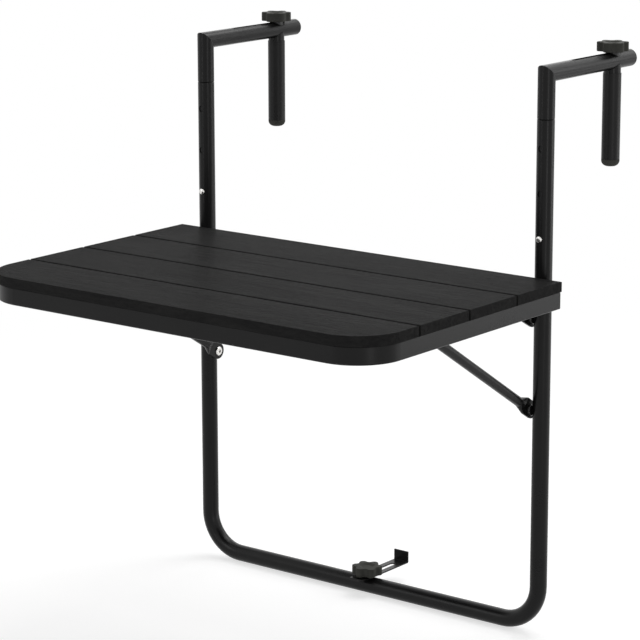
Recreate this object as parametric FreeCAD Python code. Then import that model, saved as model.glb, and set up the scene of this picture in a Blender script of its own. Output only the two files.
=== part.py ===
import FreeCAD, Part
import math
import os
from FreeCAD import Vector

# A bar table that hangs on a balcony railing. X runs along the rail, +Y points out over the
# railing, away from the person at the table, and Z is up. The hooks' underside, which rests on
# the rail, is at Z 0, the posts' axes are at Y 0, and X 0 is midway between the posts.

# Steel tubes
tube_od = 25.0
tube_wall = 1.2
inner_wall = 1.2
slide_gap = 0.2          # round a tube that slides inside another
fit_gap = 0.05           # round a part that is pressed or screwed into another
turn_gap = 0.1           # round a shaft that turns in a hole
touch_gap = 0.3          # beside a round face that only just touches

# Posts and bottom bar: one bent tube
post_spacing = 620.0     # between the posts' axes
frame_drop = 794.0       # from the rail line down to the bottom bar's axis
bend_radius = 60.0       # of the tube's axis
seam_drop = 51.0         # from the rail line down to the posts' upper ends
seam_bevel = 0.8         # round both tube ends at that seam

# Hooks
arm_reach = 219.5        # from the post's axis to the arm's end
inner_below_button = 30.0
plug_flange = 2.0
plug_depth = 12.0
plug_round = 1.2

# Height setting
lowest_hole_drop = 169.0  # from the post's upper end down to the hole in use
hole_pitch = 64.0
hole_count = 3
button_radius = 4.5
button_gap = 0.3
button_proud = 3.0       # out of the post's face
button_flange = 1.2      # thickness, and also how far it stands out round the button
spring_thickness = 0.8
spring_width = 8.0
spring_leg = 26.0

# Drop tubes that close the hooks behind the rail
drop_reach = 172.0       # from the post's axis, when the hook is at its widest
drop_travel = 107.0
drop_length = 130.0      # from the rail line down to the tube's end
sleeve_wall = 0.8
sleeve_start = 5.0       # below the rail line
cap_height = 10.5
cap_round = 8.4
cap_bevel = 0.5          # round its upper edge
cap_stub = 9.0
nut_depth = 8.0          # from the rail line down to the nut in the tube
nut_length = 14.0

# Star knobs and their studs
stud_radius = 4.0
stud_gap = 0.25          # at each side of a stud in its slot
knob_radius = 23.0
knob_height = 13.6
knob_lobes = 6
lobe_radius = 6.5
knob_valley_radius = 17.5
knob_edge = 1.0
knob_turn = 35.9         # degrees that the upper knobs' lobes are turned from +X
lower_knob_turn = 27.0
dish_radius = 12.5
dish_depth = 2.2
stud_in_knob = 8.0
stud_past_nut = 4.0
washer_radius = 10.5
washer_height = 1.0      # at its thinnest

# Wall bracket on the bottom bar
bracket_width = 26.0
bracket_reach = 89.0     # from the bottom bar's axis to the flange's rear face
bracket_nose = 22.0      # in front of the slot
bracket_heel = 19.5      # from the slot's end to the flange's rear face
flange_height = 18.0     # from the plate's underside
bracket_thickness = 2.0
bracket_bend = 0.5       # inside radius

# Tabletop
table_width = 700.0
table_depth = 450.0
table_drop = 275.2       # from the rail line down to the tabletop
table_gap = 1.5          # between the posts and the tabletop's rear edge
slat_count = 4
slat_gap = 4.0
slat_thickness = 15.0
slat_edge = 1.2
corner_radius = 72.0

# Rim and rails under the slats
rim_height = 25.0
rim_width = 12.0
rim_wall = 1.2
rim_inset = 2.0
rim_edge = 2.5           # round the rim's lower outer edge
rim_top_edge = 1.2
end_cap = 2.0
cap_tongue = 10.0
cross_rail_count = 3
cross_rail_spacing = 155.0
cross_rail_width = 20.0
cross_rail_height = 12.0
cross_rail_wall = 1.0

# Hinges between the posts and the tabletop, and the pivots of the braces
hinge_below_rim = 23.1
brace_pivot_drop = 134.2  # from the hinge's axis down to the brace's pivot
pivot_radius = 4.0       # of the pivot bolts' shanks
pivot_reach = 6.5        # from the post's axis towards its centre line, where a shank ends
bolt_head_radius = 7.0
bolt_head_height = 2.2
socket_radius = 2.9      # over the corners of its hexagon
socket_depth = 1.4
nut_radius = 5.5         # of the nuts set into the frame's walls
nut_reach = 15.0         # into the tube
boss_radius = 7.0
boss_height = 2.2
spacer_radius = 8.0
spacer_height = 1.3
ear_thickness = 3.0
ear_radius = 12.5
ear_slope = 29.0         # degrees that the ear's lower edge rises towards the front
ear_front = 62.0         # from the hinge's axis to the ear's front edge

# Braces
brace_angle = 58.1       # degrees from upright
brace_od = 14.2
brace_wall = 1.0
brace_gap = 0.8          # between the brace and the post that it folds past
brace_flat_radius = 12.5
brace_flat_length = 18.0  # from the pivot to the start of the taper
brace_taper = 14.0
brace_end = 6.0          # past the pin
pin_radius = 3.0
pin_head_radius = 5.0
pin_head = 1.5
pin_rise = 28.0          # pin above the hinge's axis when its notch holds it
slot_rise = 23.0         # slot above the hinge's axis
slot_side_gap = 0.4
guide_gap = 2.5          # between the brace and the guide rail
guide_thickness = 2.0
guide_flange = 14.0
guide_edge = 3.0         # below the slot
guide_rear = 14.0        # behind the notch
guide_corner_run = 14.5  # of the lower front corner, cut off behind the rim
guide_corner_rise = 4.0

# Screws that hold the slats
screw_radius = 2.1
screw_bite = 9.0         # into a slat
screw_head_radius = 4.0
screw_head = 2.2
access_radius = 5.0

# Places that follow from the sizes above
tube_r = tube_od / 2
tube_bore = tube_r - tube_wall
inner_r = tube_bore - slide_gap
inner_bore = inner_r - inner_wall
post_x = post_spacing / 2
arm_z = tube_r
bar_z = -frame_drop
bar_top = bar_z + tube_r
button_z = -seam_drop - lowest_hole_drop
inner_end = button_z - inner_below_button

slot_r = stud_radius + stud_gap
washer_z = tube_od + touch_gap
knob_z = washer_z + washer_height + turn_gap
nut_z = -nut_depth

rear_edge = -tube_r - table_gap
front_edge = rear_edge - table_depth
slat_depth = (table_depth - slat_gap * (slat_count - 1)) / slat_count
slat_top = -table_drop
slat_bottom = slat_top - slat_thickness
rim_bottom = slat_bottom - rim_height
rim_x = table_width / 2 - rim_inset
rim_front = front_edge + rim_inset
rim_inside_x = rim_x - rim_width
rim_inside_front = rim_front + rim_width
rim_inside_rear = rear_edge - rim_width

hinge_z = rim_bottom - hinge_below_rim
brace_z = hinge_z - brace_pivot_drop
boss_face = tube_r + touch_gap + boss_height
ear_face = boss_face + spacer_height
brace_offset = tube_r + brace_gap + brace_od / 2
brace_length = (brace_pivot_drop + pin_rise) / math.cos(math.radians(brace_angle))
pin_y = -brace_length * math.sin(math.radians(brace_angle))
pin_z = hinge_z + pin_rise
guide_face = brace_offset + brace_od / 2 + guide_gap
folded_pin_y = -brace_pivot_drop - math.sqrt(brace_length ** 2 - slot_rise ** 2)

flange_r = button_radius + button_flange
button_base = slide_gap - math.sqrt(inner_bore ** 2 - flange_r ** 2)
bracket_z = bar_top + touch_gap
lower_knob_z = bracket_z + bracket_thickness + washer_height + turn_gap

X = Vector(1, 0, 0)
Y = Vector(0, 1, 0)
Z = Vector(0, 0, 1)
SIDES = (("left", -1), ("right", 1))

os.makedirs("parts", exist_ok=True)


def save(name, *solids):
    """Write one node, of one solid or of a group of separate solids."""
    shape = solids[0] if len(solids) == 1 else Part.makeCompound(list(solids))
    shape.exportStep("parts/" + name + ".step")


def block(x0, x1, y0, y1, z0, z1):
    low = Vector(min(x0, x1), min(y0, y1), min(z0, z1))
    return Part.makeBox(abs(x1 - x0), abs(y1 - y0), abs(z1 - z0), low)


def rod(x, y, z, radius, length, axis=Z):
    """A cylinder from a point along an axis, backwards for a negative length."""
    start = Vector(x, y, z)
    if length < 0:
        start = start + axis * length
    return Part.makeCylinder(radius, abs(length), start, axis)


def pipe(x, y, z, outer, bore, length, axis=Z):
    return rod(x, y, z, outer, length, axis).cut(rod(x, y, z, bore, length, axis))


def prism(points, sweep):
    """A flat outline of straight edges, given a thickness."""
    wire = Part.makePolygon(points + [points[0]])
    return Part.Face(wire).extrude(sweep)


def slot_cut(x, y0, y1, radius, z0, z1):
    """The space of an upright slot with round ends along Y."""
    body = block(x - radius, x + radius, y0, y1, z0, z1)
    ends = [rod(x, y, z0, radius, z1 - z0) for y in (y0, y1)]
    return body.multiFuse(ends)


def mirrored(shape, side):
    """The shape as built for the right side, or its mirror image for the left."""
    return shape if side > 0 else shape.mirror(Vector(0, 0, 0), X)


def edges_at(shape, test):
    """The edges whose two ends both pass a test."""
    return [e for e in shape.Edges if all(test(v.Point) for v in e.Vertexes)]


def bend_path():
    """The axis of the posts and bottom bar, from the left post's end to the right one's."""
    r = bend_radius
    s = r * math.sqrt(0.5)
    top = -seam_drop
    path = []
    left = Vector(-post_x, 0, bar_z + r)
    low_left = Vector(-post_x + r, 0, bar_z)
    low_right = Vector(post_x - r, 0, bar_z)
    right = Vector(post_x, 0, bar_z + r)
    mid_left = Vector(-post_x + r - s, 0, bar_z + r - s)
    mid_right = Vector(post_x - r + s, 0, bar_z + r - s)
    path.append(Part.LineSegment(Vector(-post_x, 0, top), left).toShape())
    path.append(Part.Arc(left, mid_left, low_left).toShape())
    path.append(Part.LineSegment(low_left, low_right).toShape())
    path.append(Part.Arc(low_right, mid_right, right).toShape())
    path.append(Part.LineSegment(right, Vector(post_x, 0, top)).toShape())
    return Part.Wire(path)


def seam_groove():
    """The V-shaped space round the right post's seam, half of it in each of the two tubes."""
    bevel = min(seam_bevel, tube_wall * 0.7)
    reach = bevel + fit_gap
    bottom = tube_r - bevel
    seam = Vector(post_x, 0, -seam_drop)
    core = [Part.makeCone(bottom, bottom + reach, reach, seam, way) for way in (Z, -Z)]
    ring = rod(post_x, 0, -seam_drop - reach, tube_od, 2 * reach)
    return ring.cut(core[0]).cut(core[1])


def u_frame():
    path = bend_path()
    start = Vector(-post_x, 0, -seam_drop)
    discs = [Part.Face(Part.Wire(Part.makeCircle(r, start, Z))) for r in (tube_r, tube_bore)]
    frame = path.makePipe(discs[0]).cut(path.makePipe(discs[1]))
    for side in (-1, 1):
        frame = frame.cut(mirrored(seam_groove(), side))
        for step in range(hole_count):
            z = button_z + step * hole_pitch
            hole = rod(side * post_x, 0, z, button_radius + button_gap, -tube_od, Y)
            frame = frame.cut(hole)
        for z in (hinge_z, brace_z):
            reach = -side * tube_od
            hole = rod(side * post_x, 0, z, nut_radius + fit_gap, reach, X)
            frame = frame.cut(hole)
    return frame.cut(rod(0, 0, bar_z, nut_radius + fit_gap, tube_od))


def hook():
    """The right hook: a short upright tube and the arm, mitred and welded."""
    def mitred(radius):
        rise = rod(post_x, 0, -seam_drop, radius, seam_drop + 2 * tube_od)
        arm = rod(post_x, -tube_od, arm_z, radius, arm_reach - plug_flange + tube_od, Y)
        far = arm_reach + tube_od
        low, high = -seam_drop - tube_od, 3 * tube_od
        under = prism(
            [
                Vector(0, -(high - arm_z), high),
                Vector(0, -(high - arm_z), low),
                Vector(0, arm_z - low, low),
            ],
            X * (2 * post_x + far),
        )
        return rise.common(under).fuse(arm.cut(under))

    shape = mitred(tube_r).cut(mitred(tube_bore))
    slot = slot_cut(post_x, drop_reach - drop_travel, drop_reach, slot_r, -tube_r, 2 * tube_od)
    return shape.cut(slot).cut(seam_groove()).removeSplitter()


def hook_inner():
    """The tube that slides in the post and carries the snap button."""
    top = arm_z - tube_r
    shape = pipe(post_x, 0, inner_end, inner_r, inner_bore, top - inner_end)
    return shape.cut(rod(post_x, 0, button_z, button_radius + button_gap, -tube_od, Y))


def arm_plug():
    flange = rod(post_x, arm_reach, arm_z, tube_r, -plug_flange, Y)
    rim = [e for e in flange.Edges if e.BoundBox.YMin > arm_reach - plug_flange / 4]
    flange = flange.makeFillet(min(plug_round, plug_flange * 0.8), rim)
    stub = rod(post_x, arm_reach - plug_flange, arm_z, tube_bore - fit_gap, -plug_depth, Y)
    return flange.fuse(stub).removeSplitter()


def snap_button():
    """A round-nosed stud with a flange that stays inside the inner tube."""
    nose = -tube_r - button_proud
    shank = rod(post_x, button_base, button_z, button_radius, nose - button_base, Y)
    tip = [e for e in shank.Edges if e.BoundBox.YMax < nose + button_proud / 4]
    shank = shank.makeFillet(button_radius * 0.6, tip)
    flange = rod(post_x, button_base, button_z, flange_r, button_flange, Y)
    return shank.fuse(flange).removeSplitter()


def button_spring():
    """A strip bent like a U, whose legs press on the button and on the tube behind it."""
    front = button_base + button_flange + fit_gap
    rear = math.sqrt(inner_bore ** 2 - (spring_width / 2) ** 2) - slide_gap
    centre = (front + rear) / 2
    outer = (rear - front) / 2
    top = button_z + flange_r
    low = top - spring_leg
    x0 = post_x - spring_width / 2

    def bow(radius):
        legs = block(x0, x0 + spring_width, centre - radius, centre + radius, low, top)
        return legs.fuse(rod(x0, centre, low, radius, spring_width, X))

    return bow(outer).cut(bow(outer - spring_thickness).fuse(
        block(x0, x0 + spring_width, centre - outer + spring_thickness,
              centre + outer - spring_thickness, low, top + spring_leg)))


def drop_tube():
    """The tube whose saddle-cut end meets the arm from below."""
    top = arm_z
    shape = pipe(post_x, drop_reach, -drop_length, tube_r, tube_bore, drop_length + top)
    arm = rod(post_x, drop_reach - tube_od, arm_z, tube_r + touch_gap, 2 * tube_od, Y)
    tips = block(post_x - tube_od, post_x + tube_od, drop_reach - tube_od,
                 drop_reach + tube_od, top - tube_r / 3, top)
    return shape.cut(arm).cut(tips)


def drop_sleeve():
    bore = tube_r + fit_gap
    length = drop_length - sleeve_start
    return pipe(post_x, drop_reach, -drop_length, bore + sleeve_wall, bore, length)


def drop_cap():
    radius = tube_r + fit_gap + sleeve_wall
    cap = rod(post_x, drop_reach, -drop_length, radius, -cap_height)
    low = -drop_length - cap_height
    rim = [e for e in cap.Edges if e.BoundBox.ZMax < low + cap_height / 4]
    cap = cap.makeFillet(min(cap_round, cap_height * 0.8), rim)
    top = [e for e in cap.Edges if e.BoundBox.ZMin > -drop_length - fit_gap]
    cap = cap.makeChamfer(cap_bevel, top)
    stub = rod(post_x, drop_reach, -drop_length, tube_bore - fit_gap, cap_stub)
    return cap.fuse(stub).removeSplitter()


def drop_nut():
    shape = rod(post_x, drop_reach, nut_z, tube_bore - fit_gap, -nut_length)
    return shape.cut(rod(post_x, drop_reach, nut_z, stud_radius + turn_gap, -nut_length))


def knob(x, y, z, turn):
    """A star knob with round lobes and shallow hollows between them, and a dished top."""
    half = math.radians(180 / knob_lobes)
    reach = knob_radius - lobe_radius
    c = math.cos(half)
    valley = knob_valley_radius
    hollow = (reach ** 2 + valley ** 2 - 2 * reach * valley * c - lobe_radius ** 2) / (
        2 * (lobe_radius + reach * c - valley))

    def at(radius, angle):
        return Vector(x + radius * math.cos(angle), y + radius * math.sin(angle), z)

    edges = []
    for i in range(knob_lobes):
        mid = math.radians(turn) + 2 * half * i
        lobe = at(reach, mid)
        before = at(valley + hollow, mid - half)
        after = at(valley + hollow, mid + half)
        share = lobe_radius / (lobe_radius + hollow)
        start = lobe + (before - lobe) * share
        end = lobe + (after - lobe) * share
        following = at(reach, mid + 2 * half)
        next_start = following + (after - following) * share
        edges.append(Part.Arc(start, at(knob_radius, mid), end).toShape())
        edges.append(Part.Arc(end, at(valley, mid + half), next_start).toShape())
    shape = Part.Face(Part.Wire(edges)).extrude(Z * knob_height)
    rims = [e for e in shape.Edges if e.BoundBox.ZLength < knob_height / 2]
    shape = shape.makeFillet(knob_edge, rims)
    top = z + knob_height
    dish = Part.makeCone(dish_radius * 0.6, dish_radius, dish_depth,
                         Vector(x, y, top - dish_depth), Z)
    return shape.cut(dish).cut(rod(x, y, z, stud_radius + fit_gap, stud_in_knob))


def stud(x, y, z, length):
    """A threaded stud, from inside the knob above z to its end below."""
    return rod(x, y, z + stud_in_knob - fit_gap, stud_radius, -length - stud_in_knob)


def washer(x, y, z):
    return pipe(x, y, z, washer_radius, stud_radius + turn_gap, washer_height)


def saddle_washer():
    """The washer under the right clamp's knob, hollowed so that it sits on the arm."""
    height = washer_z + washer_height - arm_z
    shape = pipe(post_x, drop_reach, arm_z, washer_radius, stud_radius + turn_gap, height)
    return shape.cut(rod(post_x, drop_reach - tube_od, arm_z, tube_r + touch_gap, 2 * tube_od, Y))


def bar_nut():
    """The nut set into the bottom bar that holds the bracket's stud."""
    return pipe(0, 0, bar_top, nut_radius, stud_radius + turn_gap, -nut_reach)


def wall_bracket():
    """A slotted strip with an upright flange that stands against the railing."""
    z = bracket_z
    t = bracket_thickness
    x = bracket_width / 2
    slot_end = bracket_reach - bracket_heel
    front = -slot_r - bracket_nose
    points = [
        Vector(-x, front, z),
        Vector(-x, bracket_reach, z),
        Vector(-x, bracket_reach, z + flange_height),
        Vector(-x, bracket_reach - t, z + flange_height),
        Vector(-x, bracket_reach - t, z + t),
        Vector(-x, front, z + t),
    ]
    shape = prism(points, X * bracket_width)

    def corner(y, level):
        return edges_at(shape, lambda p: abs(p.y - y) < t / 10 and abs(p.z - level) < t / 10)

    shape = shape.makeFillet(bracket_bend, corner(bracket_reach - t, z + t))
    shape = shape.makeFillet(bracket_bend + t, corner(bracket_reach, z))
    return shape.cut(slot_cut(0, 0, slot_end - slot_r, slot_r, z - t, z + 2 * t))


def pivot_nut(z):
    """One pivot's nut, set into the right post's inner wall, with a boss outside."""
    x = post_x - tube_r - touch_gap
    boss = rod(x, 0, z, boss_radius, -boss_height, X)
    body = rod(x, 0, z, nut_radius, nut_reach, X)
    bore = rod(post_x - boss_face, 0, z, pivot_radius + turn_gap, boss_height + nut_reach, X)
    return boss.fuse(body).cut(bore).removeSplitter()


def pivot_bolt(z):
    """A round-headed bolt with a hexagon socket, from its head down into the nut."""
    x = post_x - ear_face - ear_thickness - turn_gap
    head = rod(x, 0, z, bolt_head_radius, -bolt_head_height, X)
    rim = [e for e in head.Edges if e.BoundBox.XMax < x - bolt_head_height * 0.75]
    head = head.makeFillet(min(bolt_head_height * 0.7, bolt_head_radius * 0.5), rim)
    shank = rod(x, 0, z, pivot_radius, post_x - pivot_reach - x, X)
    return head.fuse(shank).cut(hexagon(x - bolt_head_height, z)).removeSplitter()


def hexagon(x, z):
    """The space of a bolt's socket, from the head's face inwards."""
    corners = []
    for i in range(6):
        angle = math.radians(60 * i)
        y = socket_radius * math.cos(angle)
        corners.append(Vector(x, y, z + socket_radius * math.sin(angle)))
    return prism(corners, X * socket_depth)


def pivot_spacer(z):
    x = post_x - boss_face - fit_gap
    bore = pivot_radius + turn_gap
    return pipe(x, 0, z, spacer_radius, bore, -spacer_height + 2 * fit_gap, X)


def plan_outline(half_width, front, rear, radius, z):
    """A flat outline seen from above: square rear corners and round front ones."""
    s = radius * (1 - math.sqrt(0.5))
    a = Vector(-half_width, rear, z)
    b = Vector(half_width, rear, z)
    c = Vector(half_width, front + radius, z)
    d = Vector(half_width - s, front + s, z)
    e = Vector(half_width - radius, front, z)
    f = Vector(-half_width + radius, front, z)
    g = Vector(-half_width + s, front + s, z)
    h = Vector(-half_width, front + radius, z)
    edges = [
        Part.LineSegment(a, b).toShape(),
        Part.LineSegment(b, c).toShape(),
        Part.Arc(c, d, e).toShape(),
        Part.LineSegment(e, f).toShape(),
        Part.Arc(f, g, h).toShape(),
        Part.LineSegment(h, a).toShape(),
    ]
    return Part.Face(Part.Wire(edges))


def screw_places():
    """Where each screw goes: its x and y, and the level of the wall that its head bears on."""
    places = []
    corner = rim_front + corner_radius
    for i in range(slat_count):
        y = rear_edge - slat_depth / 2 - i * (slat_depth + slat_gap)
        for side in (-1, 1):
            x = side * (rim_x - rim_width / 2)
            places.append((x, max(y, corner), slat_bottom - rim_wall))
        for x in cross_rail_places():
            places.append((x, y, slat_bottom - cross_rail_wall))
    return places


def cross_rail_places():
    first = -(cross_rail_count - 1) / 2
    return [(first + i) * cross_rail_spacing for i in range(cross_rail_count)]


def guide_screw_places():
    """The guide rails' own screws, one near each end of the flange."""
    x = post_x - guide_face - guide_thickness - guide_flange / 2
    places = []
    for side in (-1, 1):
        for y in (pin_y, rim_inside_front + 3 * screw_head_radius):
            places.append((side * x, y, slat_bottom - guide_thickness))
    return places


def all_screw_places():
    return screw_places() + guide_screw_places()


def screw(x, y, seat):
    head = rod(x, y, seat - fit_gap, screw_head_radius, -screw_head)
    shank = rod(x, y, seat - fit_gap, screw_radius, slat_bottom + screw_bite - seat)
    return head.fuse(shank).removeSplitter()


def screw_holes(reach):
    """The clearance of every screw's shank, as one shape."""
    rods = [rod(x, y, seat - reach, screw_radius + fit_gap, reach + slat_bottom - seat
                + screw_bite + 2 * fit_gap) for x, y, seat in all_screw_places()]
    return Part.makeCompound(rods)


def slat(index):
    """One board, counted from the posts towards the front."""
    far = rear_edge - index * (slat_depth + slat_gap)
    near = far - slat_depth
    if index == slat_count - 1:
        face = plan_outline(table_width / 2, near, far, corner_radius, slat_bottom)
        shape = face.extrude(Z * slat_thickness)
    else:
        shape = block(-table_width / 2, table_width / 2, near, far, slat_bottom, slat_top)
    level = [e for e in shape.Edges if e.BoundBox.ZLength < slat_thickness / 2]
    return shape.makeFillet(slat_edge, level).cut(screw_holes(0))


def rim_prism(inset, rear, z0, z1):
    """What lies within the rim's outer face, less an inset all round but the rear."""
    radius = corner_radius - rim_inset - inset
    face = plan_outline(rim_x - inset, rim_front + inset, rear, radius, z0)
    return face.extrude(Z * (z1 - z0))


def rim_tube():
    """The rectangular tube bent round both sides and the front."""
    rear = rear_edge - end_cap
    shape = rim_prism(0, rear, rim_bottom, slat_bottom)

    def outside(level):
        return [e for e in shape.Edges if abs(e.BoundBox.ZMax - level) < fit_gap
                and e.BoundBox.ZLength < fit_gap and e.BoundBox.YMin < rear - fit_gap]

    shape = shape.makeFillet(rim_edge, outside(rim_bottom))
    shape = shape.makeFillet(rim_top_edge, outside(slat_bottom))
    shape = shape.cut(rim_prism(rim_width, rear, rim_bottom, slat_bottom))
    low = rim_bottom + rim_wall
    high = slat_bottom - rim_wall
    core = rim_prism(rim_wall, rear, low, high)
    shape = shape.cut(core.cut(rim_prism(rim_width - rim_wall, rear, low, high)))
    for x, y, seat in screw_places():
        if abs(x) > rim_inside_x:
            shape = shape.cut(rod(x, y, rim_bottom, access_radius, rim_height / 2))
            shape = shape.cut(rod(x, y, slat_bottom, screw_radius + fit_gap, -rim_height / 2))
    return shape


def rim_end_cap():
    """The plug in the rim's right rear end."""
    x0, x1 = rim_inside_x, rim_x
    flange = block(x0, x1, rear_edge - end_cap, rear_edge, rim_bottom, slat_bottom)
    outer = edges_at(flange, lambda p: p.x > x1 - rim_wall / 10)
    low = [e for e in outer if e.BoundBox.YLength > end_cap / 2]
    flange = flange.makeFillet(rim_edge, low)
    play = rim_wall + fit_gap
    tongue = block(x0 + play, x1 - play, rear_edge - end_cap, rear_edge - end_cap - cap_tongue,
                   rim_bottom + play, slat_bottom - play)
    return flange.fuse(tongue).removeSplitter()


def box_tube(x0, x1, y0, y1, z0, z1, wall, axis):
    """A straight rectangular tube, open at both ends along its axis."""
    outer = block(x0, x1, y0, y1, z0, z1)
    dx = 0 if axis == "x" else wall
    dy = 0 if axis == "y" else wall
    return outer.cut(block(x0 + dx, x1 - dx, y0 + dy, y1 - dy, z0 + wall, z1 - wall))


def rear_rail():
    return box_tube(-rim_inside_x, rim_inside_x, rim_inside_rear, rear_edge, rim_bottom,
                    slat_bottom, rim_wall, "x")


def cross_rail(x):
    half = cross_rail_width / 2
    z0 = slat_bottom - cross_rail_height
    shape = box_tube(x - half, x + half, rim_inside_front, rim_inside_rear, z0, slat_bottom,
                     cross_rail_wall, "y")
    for sx, sy, seat in screw_places():
        if abs(sx - x) < half:
            shape = shape.cut(rod(sx, sy, z0, access_radius, cross_rail_height / 2))
            hole = rod(sx, sy, slat_bottom, screw_radius + fit_gap, -cross_rail_height / 2)
            shape = shape.cut(hole)
    return shape


def hinge_ear():
    """The right ear: a plate welded inside the rim, with an eye on the hinge's axis."""
    x = post_x - ear_face
    slope = math.radians(ear_slope)
    front = -ear_front
    touch = Vector(x, -ear_radius * math.sin(slope), hinge_z - ear_radius * math.cos(slope))
    rise = (touch.y - front) * math.tan(slope)
    back = tangent_point(rear_edge, rim_bottom)
    points = [
        Vector(x, rear_edge, rim_bottom),
        Vector(x, rim_inside_rear, rim_bottom),
        Vector(x, rim_inside_rear, slat_bottom),
        Vector(x, front, slat_bottom),
        Vector(x, front, touch.z + rise),
        touch,
        Vector(x, 0, hinge_z),
        Vector(x, back[0], back[1]),
    ]
    plate = prism(points, -X * ear_thickness)
    eye = rod(x, 0, hinge_z, ear_radius, -ear_thickness, X)
    hole = rod(x, 0, hinge_z, pivot_radius + turn_gap, -ear_thickness, X)
    return plate.fuse(eye).removeSplitter().cut(hole)


def tangent_point(y, z):
    """Where a line from a point in the ear's plane touches the rear of the eye."""
    away = math.hypot(y, z - hinge_z)
    towards = math.atan2(z - hinge_z, y)
    spread = math.acos(ear_radius / away)
    angle = towards - spread
    return (ear_radius * math.cos(angle), hinge_z + ear_radius * math.sin(angle))


def brace():
    """The right brace, built upright over its pivot and then leant forward."""
    x = post_x - brace_offset
    flat_x = post_x - ear_face - ear_thickness / 2
    half = ear_thickness / 2
    r = brace_flat_radius
    flat = block(flat_x - half, flat_x + half, -r, r, 0, brace_flat_length)
    eye = rod(flat_x - half, 0, 0, r, 2 * half, X)
    z0 = brace_flat_length
    z1 = z0 + brace_taper
    q = brace_od / 2
    d = q * math.sqrt(0.5)
    low = Part.makePolygon([
        Vector(flat_x + half, r, z0),
        Vector(flat_x + half, -r, z0),
        Vector(flat_x - half, -r, z0),
        Vector(flat_x - half, r, z0),
        Vector(flat_x + half, r, z0),
    ])
    corners = [Vector(x + d, d, z1), Vector(x + d, -d, z1), Vector(x - d, -d, z1),
               Vector(x - d, d, z1)]
    middles = [Vector(x + q, 0, z1), Vector(x, -q, z1), Vector(x - q, 0, z1), Vector(x, q, z1)]
    high = Part.Wire([Part.Arc(corners[i], middles[i], corners[(i + 1) % 4]).toShape()
                      for i in range(4)])
    taper = Part.makeLoft([low, high], True, True)
    end = brace_length + brace_end
    tube = rod(x, 0, z1, q, end - z1)
    shape = flat.multiFuse([eye, taper, tube])
    shape = shape.cut(rod(x, 0, z1 + brace_wall, q - brace_wall, end))
    shape = shape.cut(rod(flat_x - half, 0, 0, pivot_radius + turn_gap, 2 * half, X))
    pin = rod(x - brace_od, 0, brace_length, pin_radius + fit_gap, 2 * brace_od, X)
    return lean(shape.removeSplitter().cut(pin))


def brace_pin():
    """The pin through the brace's upper end, whose tip runs beside the guide rail's slot."""
    x = post_x - brace_offset
    q = brace_od / 2
    outer = x + q + fit_gap
    tip = post_x - guide_face + slot_side_gap
    shank = rod(outer, 0, brace_length, pin_radius, tip - outer, X)
    head = rod(outer, 0, brace_length, pin_head_radius, pin_head, X)
    return lean(shank.fuse(head).removeSplitter())


def lean(shape):
    shape.rotate(Vector(0, 0, 0), X, brace_angle)
    return shape.translated(Vector(0, 0, brace_z))


def guide_rail():
    """The right guide: an angle under the slats, with a slot for the pin and a notch above it."""
    web = post_x - guide_face
    low = hinge_z + slot_rise - pin_radius - slot_side_gap - guide_edge
    front = rim_inside_front + fit_gap
    rear = pin_y + guide_rear
    t = guide_thickness
    outline = [
        Vector(web, front, slat_bottom),
        Vector(web, front, low + guide_corner_rise),
        Vector(web, front + guide_corner_run, low),
        Vector(web, rear, low),
        Vector(web, rear, slat_bottom),
    ]
    shape = prism(outline, -X * t)
    shape = shape.fuse(block(web - t - guide_flange, web, front, rear, slat_bottom - t,
                             slat_bottom))
    r = pin_radius + slot_side_gap
    slot_z = hinge_z + slot_rise
    slot = block(web - t, web, folded_pin_y, pin_y, slot_z - r, slot_z + r)
    slot = slot.fuse(rod(web - t, folded_pin_y, slot_z, r, t, X))
    slot = slot.fuse(rod(web - t, pin_y, slot_z, r, t, X))
    notch = block(web - t, web, pin_y - r, pin_y + r, slot_z, pin_z)
    notch = notch.fuse(rod(web - t, pin_y, pin_z, r, t, X))
    shape = shape.cut(slot).cut(notch).cut(screw_holes(guide_thickness))
    room = rim_prism(rim_width + fit_gap, rear_edge, low, slat_bottom)
    return shape.common(room).removeSplitter()


save("u_frame", u_frame())
save("bar_nut", bar_nut())
save("hinge_bolts", *[mirrored(pivot_bolt(hinge_z), side) for _, side in SIDES])
save("brace_bolts", *[mirrored(pivot_bolt(brace_z), side) for _, side in SIDES])
heights = (hinge_z, brace_z)
save("pivot_nuts", *[mirrored(pivot_nut(z), side) for z in heights for _, side in SIDES])
save("pivot_spacers", *[mirrored(pivot_spacer(z), side) for z in heights for _, side in SIDES])

upper_length = knob_z + nut_depth + nut_length + stud_past_nut
upper_knob = knob(post_x, drop_reach, knob_z, knob_turn)
for name, side in SIDES:
    save("hook_" + name, mirrored(hook(), side))
    save("hook_inner_" + name, mirrored(hook_inner(), side))
    save("arm_plug_" + name, mirrored(arm_plug(), side))
    save("snap_button_" + name, mirrored(snap_button(), side))
    save("button_spring_" + name, mirrored(button_spring(), side))
    save("drop_tube_" + name, mirrored(drop_tube(), side))
    save("drop_sleeve_" + name, mirrored(drop_sleeve(), side))
    save("drop_cap_" + name, mirrored(drop_cap(), side))
    save("drop_nut_" + name, mirrored(drop_nut(), side))
    save("clamp_washer_" + name, mirrored(saddle_washer(), side))
    save("clamp_knob_" + name, knob(side * post_x, drop_reach, knob_z, knob_turn))
    save("clamp_stud_" + name, stud(side * post_x, drop_reach, knob_z, upper_length))
    save("rim_end_cap_" + name, mirrored(rim_end_cap(), side))
    save("hinge_ear_" + name, mirrored(hinge_ear(), side))
    save("guide_rail_" + name, mirrored(guide_rail(), side))
    save("brace_" + name, mirrored(brace(), side))
    save("brace_pin_" + name, mirrored(brace_pin(), side))

save("wall_bracket", wall_bracket())
save("bracket_washer", washer(0, 0, bracket_z + bracket_thickness))
save("bracket_knob", knob(0, 0, lower_knob_z, lower_knob_turn))
save("bracket_stud", stud(0, 0, lower_knob_z, lower_knob_z - bar_top + nut_reach))

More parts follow.
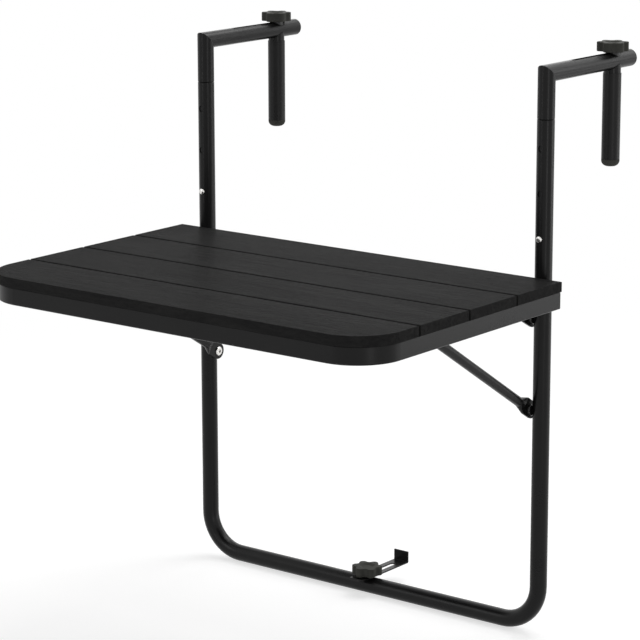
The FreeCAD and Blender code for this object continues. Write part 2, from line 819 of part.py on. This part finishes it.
for index in range(slat_count):
    save("slat_" + str(index + 1), slat(index))
save("rim_tube", rim_tube())
save("rear_rail", rear_rail())
save("cross_rails", *[cross_rail(x) for x in cross_rail_places()])
save("slat_screws", *[screw(*place) for place in all_screw_places()])
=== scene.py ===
import math

import bpy
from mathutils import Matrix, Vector


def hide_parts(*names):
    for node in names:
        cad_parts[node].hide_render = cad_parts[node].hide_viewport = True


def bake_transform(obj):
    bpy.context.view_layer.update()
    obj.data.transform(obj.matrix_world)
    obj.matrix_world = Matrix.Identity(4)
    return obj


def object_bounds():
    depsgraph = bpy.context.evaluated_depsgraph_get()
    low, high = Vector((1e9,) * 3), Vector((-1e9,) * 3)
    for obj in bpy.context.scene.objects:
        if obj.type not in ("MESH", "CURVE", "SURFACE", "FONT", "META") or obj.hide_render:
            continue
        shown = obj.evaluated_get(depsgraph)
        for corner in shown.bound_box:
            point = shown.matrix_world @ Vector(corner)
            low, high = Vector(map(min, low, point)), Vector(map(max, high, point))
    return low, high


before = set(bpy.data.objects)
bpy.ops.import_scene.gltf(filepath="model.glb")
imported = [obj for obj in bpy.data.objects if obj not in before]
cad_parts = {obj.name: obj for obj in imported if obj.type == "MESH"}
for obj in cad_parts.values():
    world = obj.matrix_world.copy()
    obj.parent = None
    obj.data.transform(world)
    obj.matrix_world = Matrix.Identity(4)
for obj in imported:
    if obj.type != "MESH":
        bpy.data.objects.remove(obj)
cad_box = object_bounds()

scene = bpy.context.scene
scene.view_settings.view_transform = "Standard"


# Materials

class Material:
    """A Principled material, with short calls for the nodes that feed it."""

    def __init__(self, name):
        self.material = bpy.data.materials.new(name)
        self.material.use_nodes = True
        self.tree = self.material.node_tree
        self.shader = self.tree.nodes["Principled BSDF"]
        self.place = self.node("ShaderNodeTexCoord").outputs["Object"]

    def node(self, kind, **values):
        made = self.tree.nodes.new(kind)
        for key, value in values.items():
            setattr(made, key, value)
        return made

    def link(self, a, b):
        self.tree.links.new(a, b)

    def set(self, **values):
        for key, value in values.items():
            self.shader.inputs[key.replace("_", " ")].default_value = value

    def stretched(self, scale):
        mapping = self.node("ShaderNodeMapping")
        mapping.inputs["Scale"].default_value = scale
        self.link(self.place, mapping.inputs["Vector"])
        return mapping.outputs["Vector"]

    def noise(self, scale, detail, rough, vector=None, distortion=0.0):
        """A noise with so many waves in a metre, or in each unit of a stretched vector."""
        made = self.node("ShaderNodeTexNoise")
        made.inputs["Scale"].default_value = scale
        made.inputs["Detail"].default_value = detail
        made.inputs["Roughness"].default_value = rough
        made.inputs["Distortion"].default_value = distortion
        self.link(vector or self.place, made.inputs["Vector"])
        return made.outputs["Fac"]

    def ramp(self, factor, stops):
        """Two stops, each a place from 0 to 1 and its colour."""
        made = self.node("ShaderNodeValToRGB")
        for element, (at, colour) in zip(made.color_ramp.elements, stops):
            element.position = at
            element.color = (*colour, 1.0)
        self.link(factor, made.inputs["Fac"])
        return made.outputs["Color"]

    def spread(self, factor, low, high, from_low=0.3, from_high=0.7):
        """The middle of a noise, where most of its values are, spread from low to high."""
        made = self.node("ShaderNodeMapRange")
        made.inputs["From Min"].default_value = from_low
        made.inputs["From Max"].default_value = from_high
        made.inputs["To Min"].default_value = low
        made.inputs["To Max"].default_value = high
        self.link(factor, made.inputs["Value"])
        return made.outputs["Result"]

    def mixed(self, a, share, b):
        """Adds two values, a taken share times and b the rest."""
        parts = []
        for value, times in ((a, share), (b, 1.0 - share)):
            made = self.node("ShaderNodeMath", operation="MULTIPLY")
            made.inputs[1].default_value = times
            self.link(value, made.inputs[0])
            parts.append(made.outputs["Value"])
        total = self.node("ShaderNodeMath", operation="ADD")
        self.link(parts[0], total.inputs[0])
        self.link(parts[1], total.inputs[1])
        return total.outputs["Value"]

    def bump(self, *layers):
        """Each layer is a height from 0 to 1 and its depth in metres."""
        normal = None
        for height, depth in layers:
            made = self.node("ShaderNodeBump")
            made.inputs["Strength"].default_value = 1.0
            made.inputs["Distance"].default_value = depth
            self.link(height, made.inputs["Height"])
            if normal:
                self.link(normal, made.inputs["Normal"])
            normal = made.outputs["Normal"]
        self.link(normal, self.shader.inputs["Normal"])

    def colour(self, output):
        self.link(output, self.shader.inputs["Base Color"])

    def roughness(self, output):
        self.link(output, self.shader.inputs["Roughness"])


def powder_coat():
    """Satin black powder coat: a fine orange peel, and a slightly uneven gloss."""
    m = Material("black_powder_coat")
    m.set(Metallic=0.0, IOR=1.45, Specular_IOR_Level=0.2)
    peel = m.noise(520.0, detail=2.0, rough=0.5)
    fine = m.noise(2300.0, detail=2.0, rough=0.6)
    broad = m.noise(9.0, detail=3.0, rough=0.6)
    m.colour(m.ramp(broad, ((0.3, (0.0048, 0.0048, 0.0050)), (0.7, (0.0068, 0.0067, 0.0067)))))
    m.roughness(m.spread(m.mixed(broad, 0.6, peel), 0.26, 0.34))
    m.bump((peel, 0.00004), (fine, 0.00001))
    return m.material


def board():
    """Black board with a shallow embossed wood grain that runs along the slats."""
    m = Material("embossed_board")
    m.set(Metallic=0.0, IOR=1.4, Specular_IOR_Level=0.0038)
    bend = m.noise(5.0, 2.0, 0.5, m.stretched((0.6, 3.0, 3.0)))
    flecks = m.noise(1.0, 3.0, 0.55, m.stretched((60.0, 240.0, 240.0)), distortion=0.8)
    pores = m.noise(1.0, 2.0, 0.5, m.stretched((90.0, 1500.0, 1500.0)))
    figure = m.noise(1.0, 3.0, 0.5, m.stretched((5.0, 70.0, 70.0)), distortion=1.2)
    grain = m.mixed(flecks, 0.7, pores)
    tone = m.mixed(figure, 0.5, grain)
    m.colour(m.ramp(tone, ((0.38, (0.0180, 0.0180, 0.0182)), (0.62, (0.0270, 0.0268, 0.0265)))))
    m.roughness(m.spread(m.mixed(grain, 0.7, bend), 0.30, 0.46))
    m.bump((m.spread(grain, 0.0, 1.0, 0.35, 0.65), 0.0006), (figure, 0.0006))
    return m.material


def moulded(name, dark, light, rough, level, grain):
    """Moulded plastic with a fine spark-eroded grain."""
    m = Material(name)
    m.set(Metallic=0.0, IOR=1.47, Specular_IOR_Level=level)
    cells = m.noise(grain, detail=2.0, rough=0.6)
    broad = m.noise(45.0, detail=3.0, rough=0.6)
    m.colour(m.ramp(broad, ((0.3, dark), (0.7, light))))
    unevenness = 0.06
    m.roughness(m.spread(m.mixed(cells, 0.5, broad), rough - unevenness, rough + unevenness))
    m.bump((cells, 0.00003))
    return m.material


def plated(name, dark, light, low, high, streaks):
    """Plated steel: bright metal with faint drawing marks and a little cloudiness."""
    m = Material(name)
    m.set(Metallic=1.0)
    marks = m.noise(1.0, 3.0, 0.6, m.stretched(streaks))
    cloud = m.noise(160.0, detail=3.0, rough=0.6)
    m.colour(m.ramp(cloud, ((0.3, dark), (0.7, light))))
    m.roughness(m.spread(m.mixed(marks, 0.5, cloud), low, high))
    m.bump((marks, 0.000006))
    return m.material


finishes = {
    "black_steel": powder_coat(),
    "board": board(),
    "knob_plastic": moulded(
        "knob_plastic_grained", (0.051, 0.051, 0.046), (0.066, 0.066, 0.060),
        rough=0.5, level=0.02, grain=1800.0),
    "soft_plastic": moulded(
        "sleeve_plastic_grained", (0.0055, 0.0055, 0.0057), (0.0078, 0.0077, 0.0077),
        rough=0.38, level=0.2, grain=2200.0),
    "washer_plastic": moulded(
        "washer_nylon", (0.010, 0.010, 0.010), (0.016, 0.016, 0.016),
        rough=0.45, level=0.4, grain=2600.0),
    "plated_steel": plated(
        "bright_plated_steel", (0.62, 0.61, 0.59), (0.74, 0.73, 0.71),
        low=0.16, high=0.28, streaks=(400.0, 400.0, 2600.0)),
    "zinc_steel": plated(
        "zinc_plated_steel", (0.42, 0.42, 0.43), (0.58, 0.58, 0.57),
        low=0.3, high=0.45, streaks=(700.0, 700.0, 700.0)),
}

for slot_name, finish in finishes.items():
    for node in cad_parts.values():
        for slot in node.material_slots:
            if slot.material and slot.material.name.split(".")[0] == slot_name:
                slot.material = finish


# The two button springs, copied in place of their CAD parts

def flexing_spring(side):
    """A copy of the button spring, set in place of the CAD part, which is hidden."""
    name = "button_spring_" + side
    made = bpy.data.objects.new("flexing_spring_" + side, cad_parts[name].data.copy())
    scene.collection.objects.link(made)
    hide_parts(name)
    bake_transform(made)


flexing_spring("left")
flexing_spring("right")


# Floor, world and lamps

def grey(value):
    return (value, value, value, 1.0)


def joined(tree, factor, first, second):
    """A mix of two shaders: the first where the factor is 0, the second where it is 1."""
    mix = tree.nodes.new("ShaderNodeMixShader")
    for output, socket in ((factor, "Fac"), (first, 1), (second, 2)):
        tree.links.new(output, mix.inputs[socket])
    return mix.outputs["Shader"]


def seen_directly(tree):
    """1 for a ray from the camera, in a mirror or through glass, and 0 for light on the object."""
    path = tree.nodes.new("ShaderNodeLightPath")
    seen = path.outputs["Is Camera Ray"]
    for kind in ("Is Glossy Ray", "Is Transmission Ray"):
        either = tree.nodes.new("ShaderNodeMath")
        either.operation = "MAXIMUM"
        tree.links.new(seen, either.inputs[0])
        tree.links.new(path.outputs[kind], either.inputs[1])
        seen = either.outputs["Value"]
    return seen


def white_world(light_strength=0.38):
    """Plain white to look at, and a weaker white as light."""
    world = bpy.data.worlds.new("studio")
    scene.world = world
    world.use_nodes = True
    tree = world.node_tree
    light = tree.nodes["Background"]
    light.inputs["Color"].default_value = grey(1.0)
    light.inputs["Strength"].default_value = light_strength
    white = tree.nodes.new("ShaderNodeBackground")
    white.inputs["Color"].default_value = grey(1.0)
    white.inputs["Strength"].default_value = 1.0
    mix = joined(tree, seen_directly(tree), light.outputs[0], white.outputs[0])
    tree.links.new(mix, tree.nodes["World Output"].inputs["Surface"])


def floor():
    """A white floor that keeps a soft shadow and fades into the backdrop."""
    half_side = 9.0
    below_object = 0.0005
    fade_from, fade_to = 0.9, 2.2     # distances from the origin
    paint, glow = 0.55, 0.62          # together white, where no shadow falls
    paint_for_object = 0.8            # what the object gets back from the floor
    z = cad_box[0].z - below_object
    corners = [(x * half_side, y * half_side, z) for x, y in ((-1, -1), (1, -1), (1, 1), (-1, 1))]
    data = bpy.data.meshes.new("floor")
    data.from_pydata(corners, [], [(0, 1, 2, 3)])
    made = bpy.data.objects.new("floor", data)
    scene.collection.objects.link(made)

    material = bpy.data.materials.new("floor_white")
    material.use_nodes = True
    tree = material.node_tree
    nodes, links = tree.nodes, tree.links
    nodes.clear()

    def surface(kind, value):
        shader = nodes.new(kind)
        shader.inputs["Color"].default_value = grey(value)
        return shader.outputs[0]

    shadowed = nodes.new("ShaderNodeAddShader")
    links.new(surface("ShaderNodeBsdfDiffuse", paint), shadowed.inputs[0])
    links.new(surface("ShaderNodeEmission", glow), shadowed.inputs[1])
    distance = nodes.new("ShaderNodeVectorMath")
    distance.operation = "LENGTH"
    links.new(nodes.new("ShaderNodeTexCoord").outputs["Object"], distance.inputs[0])
    fade = nodes.new("ShaderNodeMapRange")
    fade.interpolation_type = "SMOOTHSTEP"
    fade.inputs["From Min"].default_value = fade_from
    fade.inputs["From Max"].default_value = fade_to
    links.new(distance.outputs["Value"], fade.inputs["Value"])
    shown = joined(tree, fade.outputs["Result"], shadowed.outputs[0],
                   surface("ShaderNodeEmission", 1.0))
    final = joined(tree, seen_directly(tree),
                   surface("ShaderNodeBsdfDiffuse", paint_for_object), shown)
    links.new(final, nodes.new("ShaderNodeOutputMaterial").inputs["Surface"])
    data.materials.append(material)


def lamp(name, at, width, height, power):
    """A rectangular lamp turned to the middle of the object, its power in watts."""
    data = bpy.data.lights.new(name, "AREA")
    data.shape = "RECTANGLE"
    data.size = width
    data.size_y = height
    data.energy = power
    made = bpy.data.objects.new(name, data)
    made.location = at
    made.rotation_euler = (object_middle - Vector(at)).to_track_quat("-Z", "Y").to_euler()
    scene.collection.objects.link(made)


object_middle = Vector((0.0, -0.12, -0.38))
lamps = (     # name, place, width, height and power
    ("top", (0.0, 0.5, 2.2), 1.5, 1.2, 16.0),
    ("top_rear", (0.2, 1.7, 1.9), 1.4, 0.8, 18.0),
    ("rear", (0.6, 2.8, 1.0), 1.2, 1.0, 8.0),
    ("rear_left", (-1.4, 2.4, 0.8), 1.5, 1.0, 5.0),
    ("rear_right", (2.0, 2.2, 0.6), 0.6, 1.2, 9.0),
    ("right", (3.0, -0.3, 0.6), 1.0, 1.5, 3.0),
    ("right_low", (2.1, 1.8, -0.6), 1.1, 0.4, 5.0),
    ("left", (-2.6, -0.6, 0.6), 0.9, 2.0, 3.0),
    ("front", (-1.5, -3.0, 1.2), 1.5, 1.5, 16.0),
    ("front_left", (-1.0, -3.6, -0.45), 0.25, 0.6, 3.0),
    ("front_right", (2.7, -1.5, -0.45), 0.25, 0.6, 5.0),
)

white_world()
floor()
for entry in lamps:
    lamp(*entry)


# Camera, at the photograph's viewing angle

def camera():
    picture_width = 640.0     # pixels
    focal_length = 2650.7     # pixels
    yaw = 0.653               # radians
    pitch = math.radians(12.507)
    data = bpy.data.cameras.new("camera")
    data.sensor_width = 36.0
    data.lens = focal_length / picture_width * data.sensor_width
    data.shift_x = -0.04
    data.shift_y = -0.04
    made = bpy.data.objects.new("camera", data)
    made.location = (2.3084, -3.0715, 0.5093)
    made.rotation_euler = (math.pi / 2 - pitch, 0.0, yaw)
    scene.collection.objects.link(made)
    scene.camera = made


camera()
